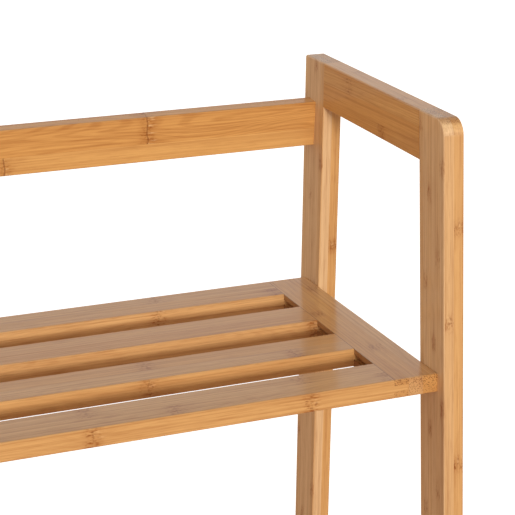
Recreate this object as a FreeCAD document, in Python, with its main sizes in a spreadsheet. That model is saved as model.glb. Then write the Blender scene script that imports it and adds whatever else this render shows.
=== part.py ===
"""Entryway bench in laminated bamboo: two A-shaped side frames, a slatted seat and shoe shelf, a back rail.

The floor is the XY plane and the bench stands centred on the origin: X runs along the bench,
+Y towards the back and +Z up. All sizes are in millimetres.
"""
import FreeCAD, Part
import os
import Sketcher
from FreeCAD import Placement, Rotation, Vector

doc = FreeCAD.newDocument("EntrywayBench")

# ---------------------------------------------------------------- driving dimensions
DRIVING_SIZES = [
    ("overall_width", 800, "over the outer faces of the two side frames"),
    ("seat_height", 450, "floor to the top of the seat slats"),
    ("shelf_height", 150, "floor to the top of the shoe shelf slats"),
    ("arm_rise", 213, "seat top to arm top, at the middle of the arm"),
    ("arm_slope", 1.3, "degrees, the arm falls towards the front"),
    ("depth_at_seat", 297, "over the legs, front to back, level with the seat top"),
    ("leg_lean", 3.2, "degrees from upright, so the side frame is an A"),
    ("leg_thickness", 18, "along the bench"),
    ("leg_width", 43, "square across the leg, seen from the side"),
    ("front_corner_radius", 14, "front leg's outer top corner, seen from the side"),
    ("rear_corner_radius", 2.5, "rear leg's outer top corner, seen from the side"),
    ("arm_height", 41, "top to bottom of the arm"),
    ("edge_ease", 1.2, "rounding of the long edges of legs, arms and back rail"),
    ("slat_ease", 1, "rounding of the long edges of slats and end rails"),
    ("panel_thickness", 16, "seat and shelf stock"),
    ("panel_inset", 11, "panel's front edge behind the leg's front edge"),
    ("slat_width", 41, "one slat"),
    ("seat_slats", 4, "count"),
    ("shelf_slats", 5, "count"),
    ("end_rail_width", 39, "along the bench"),
    ("tongue_length", 12, "slat tongue, and depth of the end rail's groove"),
    ("tongue_thickness", 5, "slat tongue, and height of the groove"),
    ("tongue_drop", 5, "panel top to the tongue's top face"),
    ("back_rail_height", 42, "top to bottom of the back rail's front face"),
    ("back_rail_thickness", 15, "front to back"),
    ("back_rail_rise", 176, "seat top to the back rail's upper front edge"),
    ("back_rail_setback", 17.5, "rear leg's front edge to the back rail's upper front edge"),
    ("back_rail_tilt", 7, "degrees, its foot further back than its top"),
    ("bolt_diameter", 6, "threaded shank"),
    ("bolt_clearance", 6.6, "hole for the shank"),
    ("bolt_reach", 23, "shank past the leg's inner face"),
    ("bolt_head_diameter", 12, ""),
    ("bolt_head_height", 3.4, ""),
    ("bolt_socket", 4, "hexagon across its flats"),
    ("bolt_socket_depth", 2.2, ""),
    ("counterbore_diameter", 13, "in the leg's outer face"),
    ("counterbore_depth", 4, ""),
    ("panel_bolt_setback", 18, "panel's front edge to the bolt's axis"),
    ("nut_diameter", 10, "barrel nut"),
    ("nut_length", 10, "barrel nut"),
    ("nut_setback", 18, "leg's inner face to the barrel nut's axis"),
    ("rail_bolt_drop", 13, "down the back rail's face to its bolt"),
    ("rail_dowel_drop", 29, "down the back rail's face to its dowel"),
    ("rail_dowel_diameter", 6, ""),
    ("rail_dowel_length", 28, ""),
    ("rail_dowel_in_leg", 10, "length of it that is in the leg"),
    ("arm_dowel_diameter", 8, ""),
    ("arm_dowel_length", 36, "half of it in the arm, half in the leg"),
    ("arm_dowel_spacing", 20, "between the two dowels of one joint"),
    ("glue_gap", 1, "dowel's end to the end of its hole"),
    ("pad_thickness", 2, "foot pad under each leg"),
    ("pad_margin", 3, "bare foot showing round the pad"),
    ("pad_corner_radius", 4, ""),
]

sizes = doc.addObject("Spreadsheet::Sheet", "Sizes")
for row, (name, number, note) in enumerate(DRIVING_SIZES, start=1):
    sizes.set(f"A{row}", name)
    sizes.set(f"B{row}", str(number))
    sizes.set(f"C{row}", note)
    sizes.setAlias(f"B{row}", name)
doc.recompute()


def dim(name):
    """The expression that reads one driving dimension."""
    return f"Sizes.{name}"


def value(expression):
    """What an expression comes to now."""
    return float(sizes.evalExpression(expression))


# ---------------------------------------------------------------- derived lines of the side frame
ARM_TOP = "(Sizes.seat_height + Sizes.arm_rise)"
ARM_UNDERSIDE = f"({ARM_TOP} - Sizes.arm_height / cos(Sizes.arm_slope))"
ARM_MIDDLE = f"(({ARM_TOP} + {ARM_UNDERSIDE}) / 2)"
INNER_FACE = "(Sizes.overall_width / 2 - Sizes.leg_thickness)"
LEG_RUN = "(Sizes.leg_width / cos(Sizes.leg_lean))"
SHOULDER_LENGTH = f"(2 * {INNER_FACE} - 2 * Sizes.end_rail_width)"


def half_depth(height):
    """Centre plane to the legs' outer edges at a height."""
    return f"(Sizes.depth_at_seat / 2 + (Sizes.seat_height - ({height})) * tan(Sizes.leg_lean))"


def leg_inner_edge(height):
    """Centre plane to the legs' inner edges at a height."""
    return f"({half_depth(height)} - {LEG_RUN})"


def crossing(end, height, inset="0"):
    """Where one of the arm's lines crosses a leg's edge: its distance from the centre plane, and its height.

    The line is at the given height over the centre plane and has the arm's slope. The leg is the front
    one for end -1 and the rear one for end +1. Its edge is the outer one, or inset from there.
    """
    slope = f"({end} * tan(Sizes.arm_slope))"
    at_floor = f"({half_depth('0')} - {inset})"
    z = f"(({height} + {slope} * {at_floor}) / (1 + {slope} * tan(Sizes.leg_lean)))"
    return f"({half_depth(z)} - {inset})", z


def panel_depth(height):
    """Front to back of the slatted panel whose top is at a height."""
    return f"(2 * ({half_depth(height)} - Sizes.panel_inset))"


def panel_bolt_y(height):
    """Centre plane to the bolts of the panel whose top is at a height."""
    return f"({panel_depth(height)} / 2 - Sizes.panel_bolt_setback)"


def panel_bolt_z(height):
    return f"({height} - Sizes.panel_thickness / 2)"


# The back rail hangs from its upper front edge; down its face and into its thickness are turned by its tilt.
RAIL_TOP = "(Sizes.seat_height + Sizes.back_rail_rise)"
RAIL_FRONT = f"({leg_inner_edge(RAIL_TOP)} + Sizes.back_rail_setback)"


def rail_y(down):
    tilt = "Sizes.back_rail_tilt"
    return f"({RAIL_FRONT} + Sizes.back_rail_thickness / 2 * cos({tilt}) + {down} * sin({tilt}))"


def rail_z(down):
    tilt = "Sizes.back_rail_tilt"
    return f"({RAIL_TOP} + Sizes.back_rail_thickness / 2 * sin({tilt}) - {down} * cos({tilt}))"


# ---------------------------------------------------------------- helpers
nodes = {}


def add_node(thing, label):
    """Register one sub-part under the name that its file gets."""
    thing.Label = label
    nodes[label] = thing
    return thing


def place(thing, x="0", y="0", z="0", rotation=None):
    """Bind a thing's place to the driving dimensions."""
    if rotation is not None:
        thing.Placement = Placement(Vector(), rotation)
    for axis, expression in zip("xyz", (x, y, z)):
        thing.setExpression(f"Placement.Base.{axis}", expression)


def sketch_on(body, name, role, offset="0"):
    """A sketch on one of the body's own origin planes, moved along the plane's normal."""
    plane = next(feature for feature in body.Origin.OriginFeatures if feature.Role == role)
    sketch = body.newObject("Sketcher::SketchObject", f"{body.Name}_{name}")
    sketch.AttachmentSupport = (plane, "")
    sketch.MapMode = "FlatFace"
    sketch.setExpression("AttachmentOffset.Base.z", offset)
    return sketch


def pin(sketch, geometry, point, x, y):
    """Hold one point of a sketch at a place worked out from the driving dimensions."""
    for kind, expression in (("DistanceX", x), ("DistanceY", y)):
        rule = Sketcher.Constraint(kind, -1, 1, geometry, point, value(expression))
        index = sketch.addConstraint(rule)
        sketch.setExpression(f"Constraints[{index}]", expression)


def draw_outline(sketch, corners):
    """A closed outline of straight lines through the corners."""
    points = [Vector(value(x), value(y), 0) for x, y in corners]
    count = len(points)
    for index, point in enumerate(points):
        sketch.addGeometry(Part.LineSegment(point, points[(index + 1) % count]))
    for index in range(count):
        sketch.addConstraint(Sketcher.Constraint("Coincident", index, 2, (index + 1) % count, 1))
    for index, (x, y) in enumerate(corners):
        pin(sketch, index, 1, x, y)


def draw_circles(sketch, diameter, centres):
    for index, (x, y) in enumerate(centres):
        centre = Vector(value(x), value(y), 0)
        sketch.addGeometry(Part.Circle(centre, Vector(0, 0, 1), value(diameter) / 2))
        pin(sketch, index, 3, x, y)
        rule = sketch.addConstraint(Sketcher.Constraint("Diameter", index, value(diameter)))
        sketch.setExpression(f"Constraints[{rule}]", diameter)


def pad(body, sketch, length):
    feature = body.newObject("PartDesign::Pad", f"{sketch.Name}_pad")
    feature.Profile = sketch
    feature.setExpression("Length", length)
    doc.recompute()
    return feature


def pocket(body, sketch, depth=None, backwards=False):
    """Cut a sketch into the body, right through it where no depth is given."""
    before = body.Shape.Volume
    feature = body.newObject("PartDesign::Pocket", f"{sketch.Name}_pocket")
    feature.Profile = sketch
    feature.Reversed = backwards
    if depth is None:
        feature.Type = "ThroughAll"
    else:
        feature.setExpression("Length", depth)
    doc.recompute()
    if body.Shape.Volume > before - 1:
        raise RuntimeError(f"{feature.Name} cuts nothing")
    return feature


def round_edges(body, name, radius, wanted):
    """Round the edges of the body's shape that a test picks by their middle point and direction."""
    base = body.Tip
    chosen = []
    for index, edge in enumerate(base.Shape.Edges, start=1):
        if len(edge.Vertexes) < 2:
            continue
        ends = [vertex.Point for vertex in edge.Vertexes]
        if wanted((ends[0] + ends[1]) / 2, (ends[1] - ends[0]).normalize()):
            chosen.append(f"Edge{index}")
    feature = body.newObject("PartDesign::Fillet", f"{body.Name}_{name}")
    feature.Base = (base, chosen)
    feature.setExpression("Radius", radius)
    doc.recompute()
    return feature


def near(a, b):
    return abs(a - b) < 0.01


HALF_TURN = Rotation(Vector(0, 0, 1), 180)


# ---------------------------------------------------------------- legs and arms
def make_leg(label, side, rear):
    """One leg of a side frame: side is -1 left or +1 right.

    Every leg is drawn where the front ones stand; the rear ones are turned half round about Z.
    """
    hand = -side if rear else side
    end = 1 if rear else -1
    body = add_node(doc.addObject("PartDesign::Body", label), label)
    profile = sketch_on(body, "side_view", "YZ_Plane", "-Sizes.leg_thickness / 2")
    foot = dim("pad_thickness")
    outer_y, outer_z = crossing(end, ARM_TOP)
    inner_y, inner_z = crossing(end, ARM_TOP, LEG_RUN)
    draw_outline(profile, [
        (f"-{half_depth(foot)}", foot),
        (f"-{leg_inner_edge(foot)}", foot),
        (f"-{inner_y}", inner_z),
        (f"-{outer_y}", outer_z),
    ])
    pad(body, profile, dim("leg_thickness"))

    outer_top = Vector(0, -value(outer_y), value(outer_z))
    corner_radius = dim("rear_corner_radius" if rear else "front_corner_radius")
    round_edges(body, "corner", corner_radius, lambda middle, run: (middle - outer_top).Length < 1)
    half_thickness = value(dim("leg_thickness")) / 2
    foot_height = value(foot)

    def on_a_face_above_the_foot(middle, run):
        return near(abs(middle.x), half_thickness) and middle.z > foot_height + 0.1

    round_edges(body, "long_edges", dim("edge_ease"), on_a_face_above_the_foot)

    # bolts of the seat and the shelf, and of the back rail in a rear leg
    bolts = [(f"-{panel_bolt_y(dim(level))}", panel_bolt_z(dim(level))) for level in ("seat_height", "shelf_height")]
    if rear:
        bolts.append((f"-{rail_y(dim('rail_bolt_drop'))}", rail_z(dim("rail_bolt_drop"))))
    outer_face = f"{hand} * Sizes.leg_thickness / 2"
    holes = sketch_on(body, "bolt_holes", "YZ_Plane", outer_face)
    draw_circles(holes, dim("bolt_clearance"), bolts)
    pocket(body, holes, backwards=hand < 0)
    counterbores = sketch_on(body, "counterbores", "YZ_Plane", outer_face)
    draw_circles(counterbores, dim("counterbore_diameter"), bolts)
    pocket(body, counterbores, dim("counterbore_depth"), backwards=hand < 0)

    if rear:
        dowel = sketch_on(body, "rail_dowel_hole", "YZ_Plane", f"-{hand} * Sizes.leg_thickness / 2")
        where = (f"-{rail_y(dim('rail_dowel_drop'))}", rail_z(dim("rail_dowel_drop")))
        draw_circles(dowel, dim("rail_dowel_diameter"), [where])
        pocket(body, dowel, "Sizes.rail_dowel_in_leg + Sizes.glue_gap", backwards=hand > 0)

    # the arm's dowels enter the leg's inner edge
    joint_y, joint_z = arm_joint(end)
    dowels = sketch_on(body, "arm_dowel_holes", "XZ_Plane", f"{joint_y} + Sizes.arm_dowel_length / 2 + Sizes.glue_gap")
    draw_circles(dowels, dim("arm_dowel_diameter"), arm_dowel_centres(joint_z))
    pocket(body, dowels)

    place(body, x=f"{side} * ({INNER_FACE} + Sizes.leg_thickness / 2)", rotation=HALF_TURN if rear else None)


def arm_joint(end):
    """The middle of the joint of an arm and a leg: its distance from the centre plane, and its height."""
    return crossing(end, ARM_MIDDLE, LEG_RUN)


def arm_dowel_centres(joint_z):
    """Across the bench and up: the two dowels of one arm joint, measured from the frame's middle plane."""
    return [("0", f"{joint_z} + {sign} * Sizes.arm_dowel_spacing / 2") for sign in (-1, 1)]


def make_arm(label, side):
    """The arm between the two legs of a side frame, its ends cut to the legs' lean."""
    body = add_node(doc.addObject("PartDesign::Body", label), label)
    profile = sketch_on(body, "side_view", "YZ_Plane", "-Sizes.leg_thickness / 2")
    outline = []
    for end, height in ((-1, ARM_UNDERSIDE), (1, ARM_UNDERSIDE), (1, ARM_TOP), (-1, ARM_TOP)):
        y, z = crossing(end, height, LEG_RUN)
        outline.append((f"{end} * {y}", z))
    draw_outline(profile, outline)
    pad(body, profile, dim("leg_thickness"))
    half_thickness = value(dim("leg_thickness")) / 2

    def long_edge(middle, run):
        return near(abs(middle.x), half_thickness) and abs(middle.y) < 1

    round_edges(body, "long_edges", dim("edge_ease"), long_edge)
    for end, name in ((-1, "front"), (1, "rear")):
        joint_y, joint_z = arm_joint(end)
        end_of_hole = f"{-end} * ({joint_y} - Sizes.arm_dowel_length / 2 - Sizes.glue_gap)"
        dowels = sketch_on(body, f"{name}_dowel_holes", "XZ_Plane", end_of_hole)
        draw_circles(dowels, dim("arm_dowel_diameter"), arm_dowel_centres(joint_z))
        pocket(body, dowels, backwards=end < 0)
    place(body, x=f"{side} * ({INNER_FACE} + Sizes.leg_thickness / 2)")


# ---------------------------------------------------------------- back rail
def make_back_rail(label):
    """The rail between the rear legs, drawn hanging from its upper front edge."""
    body = add_node(doc.addObject("PartDesign::Body", label), label)
    section = sketch_on(body, "section", "YZ_Plane", f"-{INNER_FACE}")
    draw_outline(section, [
        ("0", "0"),
        (dim("back_rail_thickness"), "0"),
        (dim("back_rail_thickness"), "-Sizes.back_rail_height"),
        ("0", "-Sizes.back_rail_height"),
    ])
    pad(body, section, f"2 * {INNER_FACE}")
    round_edges(body, "long_edges", dim("edge_ease"), lambda middle, run: near(abs(run.x), 1))

    middle = "Sizes.back_rail_thickness / 2"
    holes = (
        ("bolt_hole", "bolt_clearance", "rail_bolt_drop", "Sizes.bolt_reach + Sizes.glue_gap"),
        ("dowel_hole", "rail_dowel_diameter", "rail_dowel_drop",
         "Sizes.rail_dowel_length - Sizes.rail_dowel_in_leg + Sizes.glue_gap"),
    )
    for side, end in ((-1, "left"), (1, "right")):
        for name, diameter, drop, depth in holes:
            hole = sketch_on(body, f"{end}_{name}", "YZ_Plane", f"{side} * {INNER_FACE}")
            draw_circles(hole, dim(diameter), [(middle, f"-{dim(drop)}")])
            pocket(body, hole, depth, backwards=side < 0)
    nuts = sketch_on(body, "nut_holes", "XZ_Plane", "-Sizes.back_rail_thickness")
    across = f"({INNER_FACE} - Sizes.nut_setback)"
    draw_circles(nuts, dim("nut_diameter"), [(f"{side} * {across}", "-Sizes.rail_bolt_drop") for side in (-1, 1)])
    pocket(body, nuts, "(Sizes.back_rail_thickness + Sizes.nut_length) / 2", backwards=True)

    place(body, y=RAIL_FRONT, z=RAIL_TOP, rotation=Rotation(Vector(1, 0, 0), value(dim("back_rail_tilt"))))
    body.setExpression("Placement.Rotation.Angle", dim("back_rail_tilt"))


# ---------------------------------------------------------------- slatted panels
def make_end_rail(label, side, height):
    """The grooved rail that closes a panel's end. It is drawn for the right end and turned for the left."""
    body = add_node(doc.addObject("PartDesign::Body", label), label)
    depth = panel_depth(height)
    section = sketch_on(body, "section", "XZ_Plane", f"-{depth} / 2")
    groove_bottom = "-(Sizes.end_rail_width - Sizes.tongue_length)"
    groove_top = "-Sizes.tongue_drop"
    groove_floor = "-(Sizes.tongue_drop + Sizes.tongue_thickness)"
    draw_outline(section, [
        ("0", "0"),
        ("-Sizes.end_rail_width", "0"),
        ("-Sizes.end_rail_width", groove_top),
        (groove_bottom, groove_top),
        (groove_bottom, groove_floor),
        ("-Sizes.end_rail_width", groove_floor),
        ("-Sizes.end_rail_width", "-Sizes.panel_thickness"),
        ("0", "-Sizes.panel_thickness"),
    ])
    pad(body, section, depth)
    half = value(depth) / 2
    thickness = value(dim("panel_thickness"))

    def on_the_outside(middle, run):
        on_top_or_bottom = near(middle.z, 0) or near(middle.z, -thickness)
        at_an_end = near(abs(middle.y), half) and near(abs(run.x), 1)
        along_the_leg = near(middle.x, 0) and near(abs(run.y), 1)
        return on_top_or_bottom and (at_an_end or along_the_leg)

    round_edges(body, "edges", dim("slat_ease"), on_the_outside)

    bolts = sketch_on(body, "bolt_holes", "YZ_Plane")
    ys = [f"{sign} * {panel_bolt_y(height)}" for sign in (-1, 1)]
    draw_circles(bolts, dim("bolt_clearance"), [(y, "-Sizes.panel_thickness / 2") for y in ys])
    pocket(body, bolts, "Sizes.bolt_reach + Sizes.glue_gap")
    nuts = sketch_on(body, "nut_holes", "XY_Plane", "-Sizes.panel_thickness")
    draw_circles(nuts, dim("nut_diameter"), [("-Sizes.nut_setback", y) for y in ys])
    pocket(body, nuts, "(Sizes.panel_thickness + Sizes.nut_length) / 2", backwards=True)

    place(body, x=f"{side} * {INNER_FACE}", z=height, rotation=HALF_TURN if side < 0 else None)


def make_slat(label, height, y):
    """One slat with a tongue at each end, drawn about its own middle with its top face at z = 0."""
    body = add_node(doc.addObject("PartDesign::Body", label), label)
    shoulder = f"{SHOULDER_LENGTH} / 2"
    tip = f"({SHOULDER_LENGTH} / 2 + Sizes.tongue_length)"
    tongue_top = "-Sizes.tongue_drop"
    tongue_floor = "-(Sizes.tongue_drop + Sizes.tongue_thickness)"
    floor = "-Sizes.panel_thickness"
    right = [(shoulder, "0"), (shoulder, tongue_top), (tip, tongue_top)]
    right += [(tip, tongue_floor), (shoulder, tongue_floor), (shoulder, floor)]
    left = [(f"-{x}", z) for x, z in reversed(right)]
    front_view = sketch_on(body, "front_view", "XZ_Plane", "-Sizes.slat_width / 2")
    draw_outline(front_view, right + left)
    pad(body, front_view, dim("slat_width"))
    thickness = value(dim("panel_thickness"))

    def long_edge(middle, run):
        return near(abs(run.x), 1) and near(middle.x, 0) and (near(middle.z, 0) or near(middle.z, -thickness))

    round_edges(body, "long_edges", dim("slat_ease"), long_edge)
    place(body, y=y, z=height)


def make_panel(prefix, height, count):
    """A seat or shelf: two end rails with evenly spaced slats between them, the outer slats flush."""
    for side, end in ((-1, "left"), (1, "right")):
        make_end_rail(f"{prefix}_end_rail_{end}", side, height)
    number = int(value(count))
    for index in range(number):
        pitch = f"(({panel_depth(height)} - Sizes.slat_width) / ({count} - 1))"
        y = f"-({panel_depth(height)} - Sizes.slat_width) / 2 + {index} * {pitch}"
        make_slat(f"{prefix}_slat_{index + 1}", height, y)


# ---------------------------------------------------------------- fasteners and feet
def make_cylinder(name, diameter, length, z="0"):
    cylinder = doc.addObject("Part::Cylinder", name)
    cylinder.setExpression("Radius", f"{diameter} / 2")
    cylinder.setExpression("Height", length)
    place(cylinder, z=z)
    return cylinder


def make_bolt():
    """A bolt about its own axis: the head's seat at z = 0, the shank going down."""
    length = "(Sizes.leg_thickness - Sizes.counterbore_depth + Sizes.bolt_reach)"
    shank = make_cylinder("bolt_shank", dim("bolt_diameter"), length, f"-{length}")
    head = make_cylinder("bolt_head", dim("bolt_head_diameter"), dim("bolt_head_height"))
    whole = doc.addObject("Part::Fuse", "bolt_blank")
    whole.Base, whole.Tool = shank, head
    socket = doc.addObject("Part::Prism", "bolt_socket")
    socket.Polygon = 6
    socket.setExpression("Circumradius", "Sizes.bolt_socket / sqrt(3)")
    socket.setExpression("Height", "Sizes.bolt_socket_depth")
    place(socket, z="Sizes.bolt_head_height - Sizes.bolt_socket_depth")
    bolt = doc.addObject("Part::Cut", "bolt")
    bolt.Base, bolt.Tool = whole, socket
    return bolt


def make_barrel_nut():
    """A barrel nut about its own axis, with its threaded hole along X."""
    barrel = make_cylinder("nut_barrel", dim("nut_diameter"), dim("nut_length"), "-Sizes.nut_length / 2")
    thread = make_cylinder("nut_thread", dim("bolt_diameter"), "2 * Sizes.nut_diameter")
    place(thread, x="-Sizes.nut_diameter", rotation=Rotation(Vector(0, 1, 0), 90))
    nut = doc.addObject("Part::Cut", "barrel_nut")
    nut.Base, nut.Tool = barrel, thread
    return nut


def make_group(label, pattern, places):
    """Copies of one small part as a group: each place is x, y and z with a rotation."""
    copies = []
    for index, (x, y, z, rotation) in enumerate(places, start=1):
        copy = doc.addObject("App::Link", f"{label}_{index}")
        copy.LinkedObject = pattern
        place(copy, x, y, z, rotation)
        copies.append(copy)
    group = add_node(doc.addObject("Part::Compound", label), label)
    group.Links = copies


def make_fasteners():
    along_x = {side: Rotation(Vector(0, 1, 0), 90 * side) for side in (-1, 1)}
    tilted = Rotation(Vector(1, 0, 0), 90 + value(dim("back_rail_tilt")))
    joints = []
    for level in ("seat_height", "shelf_height"):
        for sign in (-1, 1):
            y = f"{sign} * {panel_bolt_y(dim(level))}"
            joints.append((y, panel_bolt_z(dim(level)), Rotation()))
    joints.append((rail_y(dim("rail_bolt_drop")), rail_z(dim("rail_bolt_drop")), tilted))

    head_seat = f"({INNER_FACE} + Sizes.leg_thickness - Sizes.counterbore_depth)"
    nut_across = f"({INNER_FACE} - Sizes.nut_setback)"
    bolts, nuts = [], []
    for side in (-1, 1):
        for y, z, nut_turn in joints:
            bolts.append((f"{side} * {head_seat}", y, z, along_x[side]))
            nuts.append((f"{side} * {nut_across}", y, z, nut_turn))
    make_group("frame_bolts", make_bolt(), bolts)
    make_group("barrel_nuts", make_barrel_nut(), nuts)

    arm_dowel = make_cylinder("arm_dowel", dim("arm_dowel_diameter"), dim("arm_dowel_length"))
    along_y = Rotation(Vector(1, 0, 0), 90)
    frame_middle = f"({INNER_FACE} + Sizes.leg_thickness / 2)"
    arm_dowels = []
    for side in (-1, 1):
        for end in (-1, 1):
            joint_y, joint_z = arm_joint(end)
            for _, z in arm_dowel_centres(joint_z):
                y = f"{end} * {joint_y} + Sizes.arm_dowel_length / 2"
                arm_dowels.append((f"{side} * {frame_middle}", y, z, along_y))
    make_group("arm_dowels", arm_dowel, arm_dowels)

    rail_dowel = make_cylinder("rail_dowel", dim("rail_dowel_diameter"), dim("rail_dowel_length"))
    drop = dim("rail_dowel_drop")
    start = f"({INNER_FACE} + Sizes.rail_dowel_in_leg - Sizes.rail_dowel_length)"
    places = [(f"{side} * {start}", rail_y(drop), rail_z(drop), along_x[side]) for side in (-1, 1)]
    make_group("back_rail_dowels", rail_dowel, places)


def make_foot_pad(label, side, end):
    """A thin pad under a leg, its corners rounded."""
    block = doc.addObject("Part::Box", f"{label}_blank")
    block.setExpression("Length", "Sizes.leg_thickness - 2 * Sizes.pad_margin")
    block.setExpression("Width", f"{LEG_RUN} - 2 * Sizes.pad_margin")
    block.setExpression("Height", "Sizes.pad_thickness")
    doc.recompute()
    radius = value(dim("pad_corner_radius"))
    upright = [
        (index, radius, radius)
        for index, edge in enumerate(block.Shape.Edges, start=1)
        if near(abs(edge.tangentAt(edge.FirstParameter).z), 1)
    ]
    foot_pad = add_node(doc.addObject("Part::Fillet", label), label)
    foot_pad.Base = block
    foot_pad.Edges = upright
    x = f"{side} * ({INNER_FACE} + Sizes.leg_thickness / 2) - Sizes.leg_thickness / 2 + Sizes.pad_margin"
    middle = f"({half_depth(dim('pad_thickness'))} - {LEG_RUN} / 2)"
    place(foot_pad, x=x, y=f"{end} * {middle} - {LEG_RUN} / 2 + Sizes.pad_margin")


# ---------------------------------------------------------------- the bench
for side, hand in ((-1, "left"), (1, "right")):
    for end, position in ((-1, "front"), (1, "rear")):
        make_leg(f"leg_{position}_{hand}", side, rear=end > 0)
        make_foot_pad(f"foot_pad_{position}_{hand}", side, end)
    make_arm(f"arm_{hand}", side)
make_back_rail("back_rail")
make_panel("seat", dim("seat_height"), dim("seat_slats"))
make_panel("shelf", dim("shelf_height"), dim("shelf_slats"))
make_fasteners()
doc.recompute()

# ---------------------------------------------------------------- checks, then one file for each sub-part
for thing in doc.Objects:
    if {"Invalid", "Error"} & set(thing.State):
        raise RuntimeError(f"{thing.Label} failed: {thing.State}")
for label, thing in nodes.items():
    if thing.Shape.isNull() or not thing.Shape.isValid():
        raise RuntimeError(f"{label} has no valid shape")

os.makedirs("parts", exist_ok=True)
for label, thing in nodes.items():
    thing.Shape.exportStep(f"parts/{label}.step")
    box = thing.Shape.BoundBox
    print(f"{label:24s} {len(thing.Shape.Solids):2d} solid(s) "
          f"{box.XLength:6.1f} x {box.YLength:6.1f} x {box.ZLength:6.1f} mm")
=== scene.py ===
# %% [markdown]
# # An entryway bench in laminated bamboo
#
# The bench is a flat-pack piece: two A-shaped side frames, a slatted seat, a slatted shoe shelf and
# a slim back rail, all cut from bamboo board and finished with a satin clear varnish. Its shape and
# every size are already settled in the frame that the next cell loads, so this lesson is about the
# looks: how to lay a believable bamboo on every board, each along its own grain, and how to light it.

# %% Load the frame
import math

import bpy
from mathutils import Euler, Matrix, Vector


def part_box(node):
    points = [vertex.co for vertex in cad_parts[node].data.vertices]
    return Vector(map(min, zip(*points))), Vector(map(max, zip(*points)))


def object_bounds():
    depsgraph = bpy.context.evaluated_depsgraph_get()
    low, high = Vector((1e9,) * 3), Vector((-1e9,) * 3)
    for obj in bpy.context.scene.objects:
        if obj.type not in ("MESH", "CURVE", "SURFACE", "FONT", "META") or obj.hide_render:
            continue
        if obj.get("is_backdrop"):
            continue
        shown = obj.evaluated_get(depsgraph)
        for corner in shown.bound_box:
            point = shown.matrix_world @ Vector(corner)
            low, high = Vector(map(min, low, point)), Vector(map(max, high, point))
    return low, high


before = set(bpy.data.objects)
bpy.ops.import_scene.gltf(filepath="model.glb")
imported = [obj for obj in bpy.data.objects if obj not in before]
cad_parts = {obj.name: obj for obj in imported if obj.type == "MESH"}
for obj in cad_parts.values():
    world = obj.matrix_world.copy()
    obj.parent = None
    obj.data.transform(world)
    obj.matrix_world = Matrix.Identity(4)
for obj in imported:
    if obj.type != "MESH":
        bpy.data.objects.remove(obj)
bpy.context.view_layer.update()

# %% [markdown]
# ## Small tools for building node trees
#
# A procedural material is a net of small sums. In the editor each one is a node placed by hand; here
# a few short helpers do the same, so that a line of code reads like the sum it stands for. A term
# may be a plain number or the output of an earlier node, and `feed` sorts out which.


# %% Helpers for node trees
def add(tree, kind, **settings):
    """A new node with some of its settings."""
    node = tree.nodes.new(kind)
    for name, setting in settings.items():
        setattr(node, name, setting)
    return node


def feed(tree, socket, term):
    """Give a socket a number, a colour or another node's output."""
    if isinstance(term, bpy.types.NodeSocket):
        tree.links.new(term, socket)
    else:
        socket.default_value = term


def calc(tree, operation, *terms):
    """One Math node."""
    node = add(tree, "ShaderNodeMath", operation=operation)
    for socket, term in zip(node.inputs, terms):
        feed(tree, socket, term)
    return node.outputs[0]


def vector_calc(tree, operation, first, second, output="Vector"):
    """One Vector Math node."""
    node = add(tree, "ShaderNodeVectorMath", operation=operation)
    feed(tree, node.inputs[0], first)
    feed(tree, node.inputs[1], second)
    return node.outputs[output]


def total(tree, *terms):
    """The sum of (weight, term) pairs."""
    result = None
    for weight, term in terms:
        part = calc(tree, "MULTIPLY", term, weight)
        result = part if result is None else calc(tree, "ADD", result, part)
    return result


def product(tree, first, *others):
    """All the terms multiplied together."""
    for other in others:
        first = calc(tree, "MULTIPLY", first, other)
    return first


# %% [markdown]
# ### Soft steps
#
# Most of a pattern is a mask: 1 where a mark shows, 0 where it doesn't. A hard limit would give it a
# cut-out edge, so these two helpers pass smoothly from one to the other between two limits.


# %% Helpers for soft steps
def rise(tree, term, low, high):
    """0 below low, 1 above high, and a smooth step between them."""
    node = add(tree, "ShaderNodeMapRange", interpolation_type="SMOOTHSTEP")
    feed(tree, node.inputs["Value"], term)
    feed(tree, node.inputs["From Min"], low)
    feed(tree, node.inputs["From Max"], high)
    return node.outputs["Result"]


def fall(tree, term, low, high):
    """1 below low, 0 above high: the other way round."""
    return calc(tree, "SUBTRACT", 1.0, rise(tree, term, low, high))


# %% [markdown]
# ## What laminated bamboo looks like
#
# A bamboo cane is split into strips, the strips are planed square and glued side by side, and the
# block is sawn into boards. Three things give it away. Each strip keeps its own tone, because no
# two canes are alike. Long fibres run its whole length. And where the cane had a joint, the strip
# has a mark: a thin dark line across it, short pale streaks just past the line, and dark freckles
# in a softly darker zone round it. The end of a board shows the fibres as dark dots.
#
# An image texture would be stretched round corners, so the pattern is solid: it is worked out from
# the place inside the board. The group below takes that place, in metres, with X along the grain,
# Y across the strips and Z through the layers, and every board reuses it with its own numbers.

# %% The bamboo node group and its sockets
VECTOR_INPUTS = ("Place", "Grain", "Through")
NUMBER_INPUTS = ("Strip width", "Strip shift", "Layer", "Layer tone", "Node spacing", "First node",
                 "Joint mark", "Figure", "Seam", "Tone", "Seed")

bamboo = bpy.data.node_groups.new("laminated bamboo", "ShaderNodeTree")
for name in VECTOR_INPUTS:
    bamboo.interface.new_socket(name, in_out="INPUT", socket_type="NodeSocketVector")
for name in NUMBER_INPUTS:
    bamboo.interface.new_socket(name, in_out="INPUT", socket_type="NodeSocketFloat")
for name, kind in (("Colour", "Color"), ("Roughness", "Float"), ("Height", "Float")):
    bamboo.interface.new_socket(name, in_out="OUTPUT", socket_type="NodeSocket" + kind)
print("bamboo group:", len(VECTOR_INPUTS + NUMBER_INPUTS), "inputs")

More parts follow.
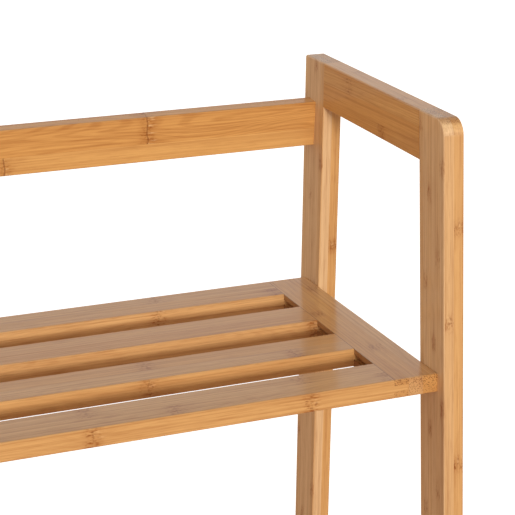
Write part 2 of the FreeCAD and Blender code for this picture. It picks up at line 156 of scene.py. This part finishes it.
# %% [markdown]
# ### Which strip a place is in
#
# Dividing the place by the strip's width and rounding down numbers the strips, and what is left over
# says where in its strip the place is. The layers are numbered in the same way. The two numbers and
# the board's seed then throw a white noise dice, so each strip gets a tone of its own and keeps it
# along its whole length. It also reads its grain far from its neighbours' place, so that the grain
# breaks at the glue line.

# %% The bamboo node group: strips and layers
GRAIN_JUMP = (7.0, 5.0, 3.0)

given = add(bamboo, "NodeGroupInput").outputs
place = add(bamboo, "ShaderNodeSeparateXYZ")
feed(bamboo, place.inputs[0], given["Place"])
along, across, through = place.outputs

strips_across = calc(bamboo, "DIVIDE", across, given["Strip width"])
layers_through = calc(bamboo, "DIVIDE", through, given["Layer"])
strip_number = calc(bamboo, "FLOOR", strips_across)
layer_number = calc(bamboo, "FLOOR", layers_through)
in_strip = calc(bamboo, "FRACT", strips_across)
in_layer = calc(bamboo, "FRACT", layers_through)

strip_key = add(bamboo, "ShaderNodeCombineXYZ")
for socket, term in zip(strip_key.inputs, (strip_number, layer_number, given["Seed"])):
    feed(bamboo, socket, term)
dice = add(bamboo, "ShaderNodeTexWhiteNoise", noise_dimensions="3D")
feed(bamboo, dice.inputs["Vector"], strip_key.outputs[0])

elsewhere = vector_calc(bamboo, "MULTIPLY", dice.outputs["Color"], GRAIN_JUMP)
own_place = vector_calc(bamboo, "ADD", given["Place"], elsewhere)
print("strips and layers:", len(bamboo.nodes), "nodes so far")

# %% [markdown]
# ### Fibres and figure
#
# Fibre is noise with only a few cycles to the metre along the grain and hundreds across it. A single
# noise looks like combed hair, so several are laid over each other: fine fibres, thicker bundles,
# broken dashes, long streaks and broad patches. The figure is the flame pattern of a flat-cut board.
# A slow noise goes through a sine, which draws it like the contour lines on a map, and every other
# strip shows it only faintly.


# %% The bamboo node group: fibres and figure
def noise(tree, place, cycles, detail=2.0, distortion=0.0):
    """Noise with its own number of cycles per metre along each direction."""
    stretched = vector_calc(tree, "MULTIPLY", place, cycles)
    node = add(tree, "ShaderNodeTexNoise", noise_dimensions="3D")
    feed(tree, node.inputs["Vector"], stretched)
    node.inputs["Scale"].default_value = 1.0
    node.inputs["Detail"].default_value = detail
    node.inputs["Distortion"].default_value = distortion
    return node.outputs["Fac"]


# Cycles per metre along the grain, across the strips and through the layers.
FINE_CYCLES = (14.0, 1000.0, 1000.0)
BUNDLE_CYCLES = (5.0, 720.0, 720.0)
DASH_CYCLES = (60.0, 800.0, 800.0)
STREAK_CYCLES = (3.0, 300.0, 300.0)
PATCH_CYCLES = (14.0, 60.0, 60.0)
FIGURE_CYCLES = (3.5, 36.0, 36.0)
FIGURE_RINGS = 135.0
RING_SHOWS = (-0.2, 1.0)
FAINTER_STRIP = 0.8

fine_fibre = noise(bamboo, own_place, FINE_CYCLES)
fibre_bundle = noise(bamboo, own_place, BUNDLE_CYCLES)
dashes = noise(bamboo, own_place, DASH_CYCLES)
long_streak = noise(bamboo, own_place, STREAK_CYCLES, distortion=0.1)
patch = noise(bamboo, own_place, PATCH_CYCLES, distortion=0.6)

figure_field = noise(bamboo, own_place, FIGURE_CYCLES, detail=1.0, distortion=0.2)
rings = calc(bamboo, "SINE", calc(bamboo, "MULTIPLY", figure_field, FIGURE_RINGS))
odd_strip = calc(bamboo, "ABSOLUTE", calc(bamboo, "MODULO", strip_number, 2.0))
flamed = calc(bamboo, "SUBTRACT", 1.0, calc(bamboo, "MULTIPLY", odd_strip, FAINTER_STRIP))
figure = product(bamboo, rise(bamboo, rings, *RING_SHOWS), flamed, given["Figure"])
print("fibres and figure:", len(bamboo.nodes), "nodes so far")

# %% [markdown]
# ### Glue lines and seams
#
# Strips and layers meet in a hair-thin line of glue, which shows because the varnish sinks into it.
# Where a whole board butts against others, varnish gathers in the crack and dries as a fine dark
# line of its own. Both come from the distance to an edge, in metres, so they keep their real width
# on a board of any size.


# %% The bamboo node group: glue lines and seams
def edge_distance(share, size):
    """Metres from the nearer edge of a strip or layer."""
    nearer = calc(bamboo, "MINIMUM", share, calc(bamboo, "SUBTRACT", 1.0, share))
    return calc(bamboo, "MULTIPLY", nearer, size)


GLUE_LINE = 0.00016
SEAM_LINE, SEAM_FADE = 0.0004, 0.0009

strip_edge = edge_distance(in_strip, given["Strip width"])
layer_edge = edge_distance(in_layer, given["Layer"])
glue = fall(bamboo, calc(bamboo, "MINIMUM", strip_edge, layer_edge), GLUE_LINE, 3 * GLUE_LINE)
seam = product(bamboo, fall(bamboo, across, SEAM_LINE, SEAM_FADE), given["Seam"])
print("glue lines and seams:", len(bamboo.nodes), "nodes so far")

# %% [markdown]
# ### How far the nearest joint is
#
# Everything about a joint's mark follows from how far along the strip the joint is. Neighbouring
# strips come from different canes, so each strip's joints are shifted along from the last one's,
# and a little slow noise keeps the line from being ruled straight. A board says how plainly the
# mark shows on its broad faces; on its edges, where the strip's side shows, it has one strength.

# %% The bamboo node group: distance from a joint
LAYER_SHIFT = 0.61
WANDER_CYCLES = (3.0, 130.0, 130.0)
LINE_WANDER = 0.006
EDGE_TURN = (0.2, 0.6)
EDGE_MARK = 0.45

from_first = calc(bamboo, "SUBTRACT", along, given["First node"])
turns = calc(bamboo, "DIVIDE", from_first, given["Node spacing"])
strip_turn = calc(bamboo, "MULTIPLY", strip_number, given["Strip shift"])
shifted = total(bamboo, (1.0, turns), (1.0, strip_turn), (LAYER_SHIFT, layer_number), (1.0, 0.5))
cycle = calc(bamboo, "SUBTRACT", calc(bamboo, "FRACT", shifted), 0.5)
straight = calc(bamboo, "MULTIPLY", cycle, given["Node spacing"])
wander = calc(bamboo, "SUBTRACT", noise(bamboo, own_place, WANDER_CYCLES), 0.5)
past_joint = total(bamboo, (1.0, straight), (LINE_WANDER, wander))
off_joint = calc(bamboo, "ABSOLUTE", past_joint)

normal = add(bamboo, "ShaderNodeNewGeometry").outputs["Normal"]
facing_through = vector_calc(bamboo, "DOT_PRODUCT", normal, given["Through"], output="Value")
face_on = calc(bamboo, "ABSOLUTE", facing_through)
face_mark = calc(bamboo, "MULTIPLY", face_on, given["Joint mark"])
side_mark = fall(bamboo, face_on, *EDGE_TURN)
mark = total(bamboo, (1.0, face_mark), (EDGE_MARK, side_mark))
print("joint distance:", len(bamboo.nodes), "nodes so far")

# %% [markdown]
# ### The mark of a joint
#
# The mark is built from the inside out: a broken dark line, short pale streaks past it, a darker
# smudge with freckles on both sides, and a faint darkening well beyond. Noise breaks up all but the
# last, because a clean line across a strip looks printed.

# %% The bamboo node group: line, streaks, smudge and freckles
RAGGED_CYCLES = (110.0, 700.0, 700.0)
SPECKLE_CYCLES = (260.0, 620.0, 620.0)
LINE_HALF, LINE_FADE = 0.0003, 0.0010
LINE_GAPS = (0.42, 0.62)
FIGURED_LINE = 0.7
STREAK_START, STREAK_END, STREAK_FADE = 0.0012, 0.004, 0.012
STREAK_GAPS = (0.52, 0.68)
SMUDGE_NEAR, SMUDGE_FAR = 0.0020, 0.0110
SMUDGE_GAPS = (0.36, 0.60)
FRECKLE_GAPS = (0.47, 0.66)
ZONE_NEAR, ZONE_FAR = 0.002, 0.030

ragged = noise(bamboo, own_place, RAGGED_CYCLES)
speckle = noise(bamboo, own_place, SPECKLE_CYCLES, detail=3.0)
near_joint = fall(bamboo, off_joint, SMUDGE_NEAR, SMUDGE_FAR)
round_joint = fall(bamboo, off_joint, ZONE_NEAR, ZONE_FAR)

streak_begins = rise(bamboo, past_joint, 0.0, STREAK_START)
streak_ends = fall(bamboo, past_joint, STREAK_END, STREAK_FADE)
after_joint = product(bamboo, streak_begins, streak_ends)
pale_streaks = product(bamboo, rise(bamboo, ragged, *STREAK_GAPS), after_joint, mark)

figured_cover = calc(bamboo, "MULTIPLY", given["Figure"], FIGURED_LINE)
line_cover = calc(bamboo, "MAXIMUM", rise(bamboo, ragged, *LINE_GAPS), figured_cover)
joint_line = product(bamboo, fall(bamboo, off_joint, LINE_HALF, LINE_FADE), line_cover, mark)
smudge = product(bamboo, near_joint, rise(bamboo, patch, *SMUDGE_GAPS))
freckles = product(bamboo, near_joint, rise(bamboo, speckle, *FRECKLE_GAPS))
print("joint mark:", len(bamboo.nodes), "nodes so far")

# %% [markdown]
# ### The eye
#
# On a board's edges the fibres also close round the joint in a small eye, seen as a broken ring. It
# is drawn by its radius: how far a place is from the joint's middle, less the radius, is how far it
# is from the ring.

# %% The bamboo node group: the eye
EYE_RADIUS = 0.0042
EYE_WANDER = 0.004
RING_HALF, RING_FADE = 0.0004, 0.0018
RING_GAPS = (0.46, 0.66)

across_share = calc(bamboo, "SUBTRACT", in_strip, 0.5)
through_share = calc(bamboo, "SUBTRACT", in_layer, 0.5)
across_middle = calc(bamboo, "MULTIPLY", across_share, given["Strip width"])
through_middle = calc(bamboo, "MULTIPLY", through_share, given["Layer"])
aside_on_face = calc(bamboo, "MULTIPLY", across_middle, face_on)
aside_on_edge = calc(bamboo, "MULTIPLY", through_middle, side_mark)
aside = total(bamboo, (1.0, aside_on_face), (1.0, aside_on_edge))
along_squared = product(bamboo, past_joint, past_joint)
aside_squared = product(bamboo, aside, aside)
reach = calc(bamboo, "SQRT", calc(bamboo, "ADD", along_squared, aside_squared))
ring_error = total(bamboo, (1.0, reach), (-EYE_RADIUS, 1.0), (EYE_WANDER, wander))
off_ring = calc(bamboo, "ABSOLUTE", ring_error)
ring = fall(bamboo, off_ring, RING_HALF, RING_FADE)
eye = product(bamboo, ring, rise(bamboo, ragged, *RING_GAPS), side_mark)
print("eye:", len(bamboo.nodes), "nodes so far")

# %% [markdown]
# ### The sawn end
#
# A face that looks along the grain is a sawn end. It shows the fibres as dots, so it needs a pattern
# of scattered cells in place of long noise. The dots grow towards one side of each layer, as the
# fibres crowd towards the cane's skin.


# %% The bamboo node group: the sawn end
def cells(tree, place, cycles):
    """Distance from the middle of the nearest of many scattered cells."""
    node = add(tree, "ShaderNodeTexVoronoi", feature="F1")
    feed(tree, node.inputs["Vector"], vector_calc(tree, "MULTIPLY", place, cycles))
    node.inputs["Scale"].default_value = 1.0
    return node.outputs["Distance"]


END_TURN = (0.6, 0.85)
DOT_CYCLES = (60.0, 850.0, 850.0)
DOT_SMALLEST, DOT_GROWTH = 0.30, 0.22
DOT_CORE = 0.6

facing = vector_calc(bamboo, "DOT_PRODUCT", normal, given["Grain"], output="Value")
sawn_end = rise(bamboo, calc(bamboo, "ABSOLUTE", facing), *END_TURN)
dot_size = total(bamboo, (DOT_GROWTH, in_layer), (1.0, DOT_SMALLEST))
dot_core = calc(bamboo, "MULTIPLY", dot_size, DOT_CORE)
dots = fall(bamboo, cells(bamboo, own_place, DOT_CYCLES), dot_core, dot_size)
print("sawn end:", len(bamboo.nodes), "nodes so far")

# %% [markdown]
# ### Tone
#
# A strip's own tone is a place on a short ramp from straw through honey to caramel. The board sets
# the middle, the dice moves each strip from it, and a board may make one layer darker than the next.


# %% The bamboo node group: a tone for each strip
def paint(red, green, blue):
    """A colour as a painter's chart gives it, 0 to 255, in the linear numbers that nodes work in."""
    def linear(channel):
        channel /= 255
        return channel / 12.92 if channel <= 0.04045 else ((channel + 0.055) / 1.055) ** 2.4

    return (linear(red), linear(green), linear(blue), 1.0)


STRAW = paint(234, 197, 148)
HONEY = paint(222, 170, 102)
CARAMEL = paint(207, 145, 74)
STRIP_SPREAD = 0.42

own_tone = calc(bamboo, "SUBTRACT", dice.outputs["Value"], 0.5)
layer_step = calc(bamboo, "MULTIPLY", layer_number, given["Layer tone"])
tone = total(bamboo, (1.0, given["Tone"]), (STRIP_SPREAD, own_tone), (1.0, layer_step))
tones = add(bamboo, "ShaderNodeValToRGB")
tones.color_ramp.elements[0].position = 0.0
tones.color_ramp.elements[0].color = STRAW
tones.color_ramp.elements[1].position = 1.0
tones.color_ramp.elements[1].color = CARAMEL
tones.color_ramp.elements.new(0.5).color = HONEY
feed(bamboo, tones.inputs["Fac"], tone)
strip_colour = tones.outputs["Color"]
print("tone ramp:", len(tones.color_ramp.elements), "colours")

# %% [markdown]
# ### Darkening and colour
#
# The fibres, the figure and the soft parts of the joints all darken the strip towards one brown.
# Each is first cut to the part of its noise that should show, then weighed, so that the balance
# between them can be tuned in one list. The crisp parts, which are the pale streaks, the joint's
# line, the freckles in its eye and the seam, are laid on top afterwards in their own colours.


# %% The bamboo node group: how much each pattern darkens
STREAK_SHOWS = (0.40, 0.64)
BUNDLE_SHOWS = (0.42, 0.64)
FINE_SHOWS = (0.42, 0.68)
DASH_SHOWS = (0.50, 0.70)
PATCH_SHOWS = (0.45, 0.8)

fibre_depth = total(
    bamboo,
    (0.22, rise(bamboo, long_streak, *STREAK_SHOWS)),
    (0.36, rise(bamboo, fibre_bundle, *BUNDLE_SHOWS)),
    (0.26, rise(bamboo, fine_fibre, *FINE_SHOWS)),
    (0.26, rise(bamboo, dashes, *DASH_SHOWS)),
    (0.40, figure),
    (0.16, rise(bamboo, patch, *PATCH_SHOWS)),
    (0.16, round_joint),
    (0.34, smudge),
    (0.70, freckles),
    (0.40, eye),
    (0.30, glue),
)
print("darkening:", len(bamboo.nodes), "nodes so far")


# %% The bamboo node group: colours laid over each other
def blend_colour(tree, factor, first, second):
    """Go from the first colour to the second as the factor goes from 0 to 1."""
    node = add(tree, "ShaderNodeMix", data_type="RGBA")
    feed(tree, node.inputs[0], factor)
    feed(tree, node.inputs[6], first)
    feed(tree, node.inputs[7], second)
    return node.outputs[2]


FIBRE_BROWN = paint(150, 84, 32)
NODE_BROWN = paint(104, 50, 20)
PALE_FLECK = paint(244, 208, 152)
FIBRE_STRENGTH = 0.46

face = strip_colour
for strength, pattern, stain in (
    (FIBRE_STRENGTH, fibre_depth, FIBRE_BROWN),
    (0.50, pale_streaks, PALE_FLECK),
    (0.70, joint_line, NODE_BROWN),
    (0.60, product(bamboo, freckles, eye), NODE_BROWN),
    (0.62, seam, NODE_BROWN),
):
    face = blend_colour(bamboo, calc(bamboo, "MULTIPLY", pattern, strength), face, stain)

END_BROWN, END_PATCHES = 0.20, 0.55
DOT_STRENGTH = 0.75
end_cover = total(bamboo, (END_PATCHES, patch), (1.0, END_BROWN))
end_ground = blend_colour(bamboo, end_cover, strip_colour, FIBRE_BROWN)
end_face = blend_colour(bamboo, calc(bamboo, "MULTIPLY", dots, DOT_STRENGTH), end_ground, NODE_BROWN)
colour = blend_colour(bamboo, sawn_end, face, end_face)
print("colour:", len(bamboo.nodes), "nodes so far")

# %% [markdown]
# ### Gloss and relief
#
# Under the varnish the wood is satin, and duller where it is streaked, patched or sawn across. The
# relief is a bump of a tenth of a millimetre at most: fibres stand up a little, while glue lines,
# joints and freckles sink in.

# %% The bamboo node group: roughness, height and outputs
SATIN = 0.40

roughness = total(
    bamboo,
    (1.0, SATIN),
    (0.10, long_streak),
    (0.08, patch),
    (0.12, sawn_end),
    (0.10, joint_line),
)
height = total(
    bamboo,
    (0.50, fibre_bundle),
    (0.35, fine_fibre),
    (-0.60, glue),
    (-0.50, joint_line),
    (-0.30, freckles),
)
out = add(bamboo, "NodeGroupOutput")
for name, term in (("Colour", colour), ("Roughness", roughness), ("Height", height)):
    feed(bamboo, out.inputs[name], term)
print("bamboo group:", len(bamboo.nodes), "nodes")

# %% [markdown]
# ## Cutting each board from the bamboo
#
# A board is told where its corner is and which way its grain, its strips and its layers run. Three
# dot products then turn a place on the bench into a place in the board. The varnish is the
# shader's coat: a thin glossy skin over wood that is rougher underneath, which is what makes a
# varnished top turn pale where it mirrors a bright room and stay warm where it mirrors wood.

# %% A bamboo material for one board
X, Y, Z = Vector((1, 0, 0)), Vector((0, 1, 0)), Vector((0, 0, 1))
RELIEF_DEPTH, RELIEF_STRENGTH = 0.00010, 0.5
VARNISH = {"Coat Weight": 0.58, "Coat Roughness": 0.16, "Coat IOR": 1.5, "Specular IOR Level": 0.25}


def dress(node_name, material):
    """Give a piece of the frame its material."""
    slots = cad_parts[node_name].data.materials
    slots.clear()
    slots.append(material)


def bamboo_board(node_name, corner, grain, strips, layers, strip_width, layer, seed, tone=0.45,
                 strip_shift=0.37, layer_tone=0.0, node_spacing=0.26, first_node=0.07, joint_mark=0.3,
                 figure=0.35, seam=0.0):
    """A varnished bamboo material laid into one board, and put in the board's slot."""
    material = bpy.data.materials.new(node_name.replace("_", " ") + " bamboo")
    material.use_nodes = True
    tree = material.node_tree
    shader = tree.nodes["Principled BSDF"]
    spot = vector_calc(tree, "SUBTRACT", add(tree, "ShaderNodeTexCoord").outputs["Object"], corner)
    place_in_board = add(tree, "ShaderNodeCombineXYZ")
    for socket, direction in zip(place_in_board.inputs, (grain, strips, layers)):
        feed(tree, socket, vector_calc(tree, "DOT_PRODUCT", spot, direction, output="Value"))
    wood = add(tree, "ShaderNodeGroup", node_tree=bamboo)
    for name, term in (
        ("Place", place_in_board.outputs[0]),
        ("Grain", grain),
        ("Through", layers),
        ("Strip width", strip_width),
        ("Strip shift", strip_shift),
        ("Layer", layer),
        ("Layer tone", layer_tone),
        ("Node spacing", node_spacing),
        ("First node", first_node),
        ("Joint mark", joint_mark),
        ("Figure", figure),
        ("Seam", seam),
        ("Tone", tone),
        ("Seed", seed),
    ):
        feed(tree, wood.inputs[name], term)
    relief = add(tree, "ShaderNodeBump")
    relief.inputs["Strength"].default_value = RELIEF_STRENGTH
    relief.inputs["Distance"].default_value = RELIEF_DEPTH
    feed(tree, relief.inputs["Height"], wood.outputs["Height"])
    feed(tree, shader.inputs["Base Color"], wood.outputs["Colour"])
    feed(tree, shader.inputs["Roughness"], wood.outputs["Roughness"])
    feed(tree, shader.inputs["Normal"], relief.outputs["Normal"])
    for name, amount in VARNISH.items():
        shader.inputs[name].default_value = amount
    dress(node_name, material)


# %% [markdown]
# ## The side frames
#
# The legs and the arm are the same board, two layers thick. A leg's grain follows its lean, so the
# lean is worked out from how much deeper the leg's box is than the leg is wide. One layer is cut
# from paler cane than the other, which shows as two stripes down the front of each leg.

# %% Legs and arms
arm_low, arm_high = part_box("arm_right")
board = arm_high.x - arm_low.x
layer = board / 2
LEG_WIDTH, LEG_STRIPS = 0.043, 6
ARM_STRIP = 0.0137

# For each leg, how far apart its cane's joints are and how far up the first one falls.
LEG_JOINTS = {"front": (0.20, 0.42), "rear": (0.34, 0.23)}

seed = 0
for side in ("left", "right"):
    for end, sign in (("front", 1), ("rear", -1)):
        name = f"leg_{end}_{side}"
        low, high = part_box(name)
        pad_low, pad_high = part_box(f"foot_pad_{end}_{side}")
        foot_middle = (pad_low.y + pad_high.y) / 2
        lean = math.atan((high.y - low.y - LEG_WIDTH) / (high.z - low.z)) * sign
        grain = Vector((0, math.sin(lean), math.cos(lean)))
        strips = Vector((0, math.cos(lean), -math.sin(lean)))
        foot_corner = Vector((low.x, foot_middle - LEG_WIDTH / 2, low.z))
        spacing, first = LEG_JOINTS[end]
        seed += 1
        bamboo_board(name, foot_corner, grain, strips, X, LEG_WIDTH / LEG_STRIPS, layer, seed, tone=0.02,
                     layer_tone=0.30, node_spacing=spacing, first_node=first, joint_mark=0.15, figure=0.2)
    low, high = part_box(f"arm_{side}")
    seed += 1
    bamboo_board(f"arm_{side}", low, Y, Z, X, ARM_STRIP, layer, seed, tone=0.62, layer_tone=0.15,
                 joint_mark=0.2, figure=0.3)
print("side frames: board", round(board, 4), "m,", seed, "boards, lean", round(math.degrees(abs(lean)), 2))

# %% [markdown]
# ## Seat and shelf
#
# Slats are cut from two strips side by side, the end rails from three. An end rail's strips are
# counted from its inner edge, because that is where the slats butt against it and leave a seam.

# %% Slats and end rails
SLAT_STRIPS, END_RAIL_STRIPS = 2, 3

# For each slat, how far apart its cane's joints are and how far right of the bench's middle one falls.
SLAT_JOINTS = {1: (0.18, 0.09), 2: (0.34, 0.16), 3: (0.52, 0.34), 4: (0.30, 0.22), 5: (0.28, 0.0)}

for panel in ("seat", "shelf"):
    for side, inner_edge in (("left", -1), ("right", 1)):
        name = f"{panel}_end_rail_{side}"
        low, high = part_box(name)
        corner = low if side == "right" else Vector((high.x, low.y, low.z))
        seed += 1
        bamboo_board(name, corner, Y, X * inner_edge, Z, (high.x - low.x) / END_RAIL_STRIPS,
                     high.z - low.z, seed, tone=0.5, joint_mark=0.15, seam=1.0)
    for number, (spacing, right_of_middle) in SLAT_JOINTS.items():
        name = f"{panel}_slat_{number}"
        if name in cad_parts:
            low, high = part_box(name)
            seed += 1
            bamboo_board(name, low, X, Y, Z, (high.y - low.y) / SLAT_STRIPS, high.z - low.z, seed,
                         tone=0.42, node_spacing=spacing, first_node=right_of_middle - low.x)
print("boards dressed so far:", seed)

# %% [markdown]
# ## The back rail
#
# The back rail is one wide strip over a narrow one. Its face is cut flat to the cane's skin, so the
# fibres run in long flames and the joints show plainly. Its layer is made thicker than the rail, so
# that no glue line falls inside it.

# %% The back rail
RAIL_STRIP = 0.0266
RAIL_LAYER = 0.03
RAIL_NODE, RAIL_NODE_SPACING = 0.220, 0.30

low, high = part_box("back_rail")
top_corner = Vector((low.x, low.y, high.z))
seed += 1
bamboo_board("back_rail", top_corner, X, -Z, Y, RAIL_STRIP, RAIL_LAYER, seed, tone=0.72,
             strip_shift=0.43, node_spacing=RAIL_NODE_SPACING, first_node=RAIL_NODE - low.x,
             joint_mark=0.9, figure=1.0)
print("boards dressed:", seed)

# %% [markdown]
# ## Steel, rubber and beech
#
# The fixings hardly show, but the bench can be looked at from below and taken apart, so they get
# their own finish too: zinc plating with a faint cloud in it, soft dark rubber, and bare beech.

# %% Bolts, nuts, pads and dowels
MOTTLE_DEPTH, MOTTLE_STRENGTH = 0.00005, 0.3


def fitting(name, dark, light, cycles, rough_low, rough_step, metal=0.0):
    """A plain material with a mottle of two colours and a roughness that follows it."""
    material = bpy.data.materials.new(name)
    material.use_nodes = True
    tree = material.node_tree
    shader = tree.nodes["Principled BSDF"]
    spot = add(tree, "ShaderNodeTexCoord").outputs["Object"]
    mottle = noise(tree, spot, (cycles, cycles, cycles), detail=3.0)
    feed(tree, shader.inputs["Base Color"], blend_colour(tree, mottle, dark, light))
    feed(tree, shader.inputs["Roughness"], total(tree, (rough_step, mottle), (1.0, rough_low)))
    shader.inputs["Metallic"].default_value = metal
    relief = add(tree, "ShaderNodeBump")
    relief.inputs["Strength"].default_value = MOTTLE_STRENGTH
    relief.inputs["Distance"].default_value = MOTTLE_DEPTH
    feed(tree, relief.inputs["Height"], mottle)
    feed(tree, shader.inputs["Normal"], relief.outputs["Normal"])
    return material


steel = fitting("zinc plated steel", paint(196, 196, 190), paint(160, 164, 166), cycles=400,
                rough_low=0.20, rough_step=0.25, metal=1.0)
rubber = fitting("foot pad rubber", paint(38, 36, 34), paint(58, 55, 52), cycles=1500,
                 rough_low=0.65, rough_step=0.20)
beech = fitting("beech dowel", paint(214, 178, 134), paint(188, 146, 102), cycles=500,
                rough_low=0.50, rough_step=0.20)

fittings_dressed = 0
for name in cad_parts:
    if name in ("frame_bolts", "barrel_nuts"):
        dress(name, steel)
    elif name.startswith("foot_pad"):
        dress(name, rubber)
    elif name.endswith("dowels"):
        dress(name, beech)
    else:
        continue
    fittings_dressed += 1
print("fittings dressed:", fittings_dressed, "of", len(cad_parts) - seed)

# %% [markdown]
# ## The floor
#
# The floor is a sheet of pale paper far wider than the view. A glow of its own brings it to an even
# white. It is kept out of the varnish's mirror and of the bounced light, as a studio does by standing
# the piece on a narrow sweep in a larger, dimmer room, and it stops no light coming from below.

# %% Floor
FLOOR_SIZE = 60.0
PAPER_GREY, PAPER_ROUGHNESS, PAPER_GLOW = 0.86, 0.9, 0.75

half = FLOOR_SIZE / 2
corners = [(-half, -half, 0), (half, -half, 0), (half, half, 0), (-half, half, 0)]
floor_mesh = bpy.data.meshes.new("studio floor")
floor_mesh.from_pydata(corners, [], [(0, 1, 2, 3)])
floor = bpy.data.objects.new("studio_floor", floor_mesh)
bpy.context.scene.collection.objects.link(floor)

paper = bpy.data.materials.new("white paper")
paper.use_nodes = True
shader = paper.node_tree.nodes["Principled BSDF"]
shader.inputs["Base Color"].default_value = (PAPER_GREY, PAPER_GREY, PAPER_GREY, 1)
shader.inputs["Roughness"].default_value = PAPER_ROUGHNESS
shader.inputs["Emission Color"].default_value = (1, 1, 1, 1)
shader.inputs["Emission Strength"].default_value = PAPER_GLOW
floor_mesh.materials.append(paper)
floor.visible_diffuse = False
floor.visible_glossy = False
floor.visible_shadow = False
floor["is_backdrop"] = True
print("floor:", FLOOR_SIZE, "m square")

# %% [markdown]
# ## The room's light
#
# The room is a soft band of brightness round the horizon, dimmer and warmer overhead and below. Tops
# mirror the bright band and turn pale, while faces that look sideways mirror the dim lower half and
# stay warm. The strength and the tint follow the climb of the direction looked in, which goes from
# -1 straight down to 1 straight up.

# %% The room's light
HORIZON_LIGHT, OVERHEAD_LIGHT, BELOW_LIGHT = 0.90, 0.30, 0.38
ROOM_WHITE = (1.0, 1.0, 1.0, 1.0)
LAMP_WARMTH = (1.0, 0.80, 0.60, 1.0)
WOODEN_WARMTH = (1.0, 0.56, 0.32, 1.0)
HIGH_CLIMB, LOW_CLIMB = (0.34, 0.80), (-0.22, 0.02)

world = bpy.data.worlds.new("studio")
bpy.context.scene.world = world
world.use_nodes = True
tree = world.node_tree
looking = add(tree, "ShaderNodeSeparateXYZ")
feed(tree, looking.inputs[0], add(tree, "ShaderNodeTexCoord").outputs["Generated"])
climb = looking.outputs[2]
high_up = rise(tree, climb, *HIGH_CLIMB)
low_down = fall(tree, climb, *LOW_CLIMB)
above = total(tree, (HORIZON_LIGHT, 1.0), (OVERHEAD_LIGHT - HORIZON_LIGHT, high_up))
below = total(tree, (HORIZON_LIGHT, 1.0), (BELOW_LIGHT - HORIZON_LIGHT, low_down))
background = tree.nodes["Background"]
upper_colour = blend_colour(tree, high_up, ROOM_WHITE, LAMP_WARMTH)
feed(tree, background.inputs["Color"], blend_colour(tree, low_down, upper_colour, WOODEN_WARMTH))
feed(tree, background.inputs["Strength"], calc(tree, "MINIMUM", above, below))
print("room: horizon", HORIZON_LIGHT, "overhead", OVERHEAD_LIGHT, "below", BELOW_LIGHT)

# %% [markdown]
# ## The lamp
#
# One broad, low lamp from the front models the legs and slats, since the room alone would leave
# them flat. It is kept out of the varnish's mirror, where it would show as a hard bright spot.


# %% The lamp
def soft_sun(name, azimuth, elevation, strength, spread, tint):
    """A large far light: azimuth 0 shines from the front, 90 from the right; angles in degrees."""
    light = bpy.data.lights.new(name, "SUN")
    light.energy = strength
    light.angle = math.radians(spread)
    light.color = tint
    lamp = bpy.data.objects.new(name, light)
    turn, climb = math.radians(azimuth), math.radians(elevation)
    towards = Vector((
        math.sin(turn) * math.cos(climb),
        -math.cos(turn) * math.cos(climb),
        math.sin(climb),
    ))
    lamp.rotation_mode = "QUATERNION"
    lamp.rotation_quaternion = towards.to_track_quat("Z", "Y")
    lamp.visible_glossy = False
    bpy.context.scene.collection.objects.link(lamp)
    return lamp


key = soft_sun("key", azimuth=-8, elevation=12, strength=2.0, spread=10, tint=(1.0, 0.98, 0.95))
print("lamp:", key.name, key.data.energy)

# %% [markdown]
# ## The camera
#
# The view is a close one: a long lens, from left of the bench's middle and well above its arms,
# looking down and to the right at the seat's right end. The Standard view transform shows the
# colours as they were mixed, and the paper as plain white.

# %% Camera
CAMERA_PLACE = Vector((-0.2146, -1.2587, 0.9490))
CAMERA_TURN = Euler([math.radians(angle) for angle in (72.47, 0.46, -21.56)], "XYZ")
SENSOR_MM, LENS_MM = 36.0, 116.06
NEAREST_SEEN = 0.05

camera_data = bpy.data.cameras.new("camera")
camera_data.sensor_width = SENSOR_MM
camera_data.lens = LENS_MM
camera_data.clip_start = NEAREST_SEEN
camera = bpy.data.objects.new("camera", camera_data)
camera.location = CAMERA_PLACE
camera.rotation_euler = CAMERA_TURN
bpy.context.scene.collection.objects.link(camera)
bpy.context.scene.camera = camera
bpy.context.scene.view_settings.view_transform = "Standard"
print("camera:", LENS_MM, "mm lens,", round(CAMERA_PLACE.z, 2), "m up")

# %% [markdown]
# ## Measure and finish
#
# Looks must not change the bench's size, so the box round all the visible pieces is measured again
# and printed.

# %% Measure and finish
low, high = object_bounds()
print("visual box:", [round(side, 3) for side in high - low], "m")
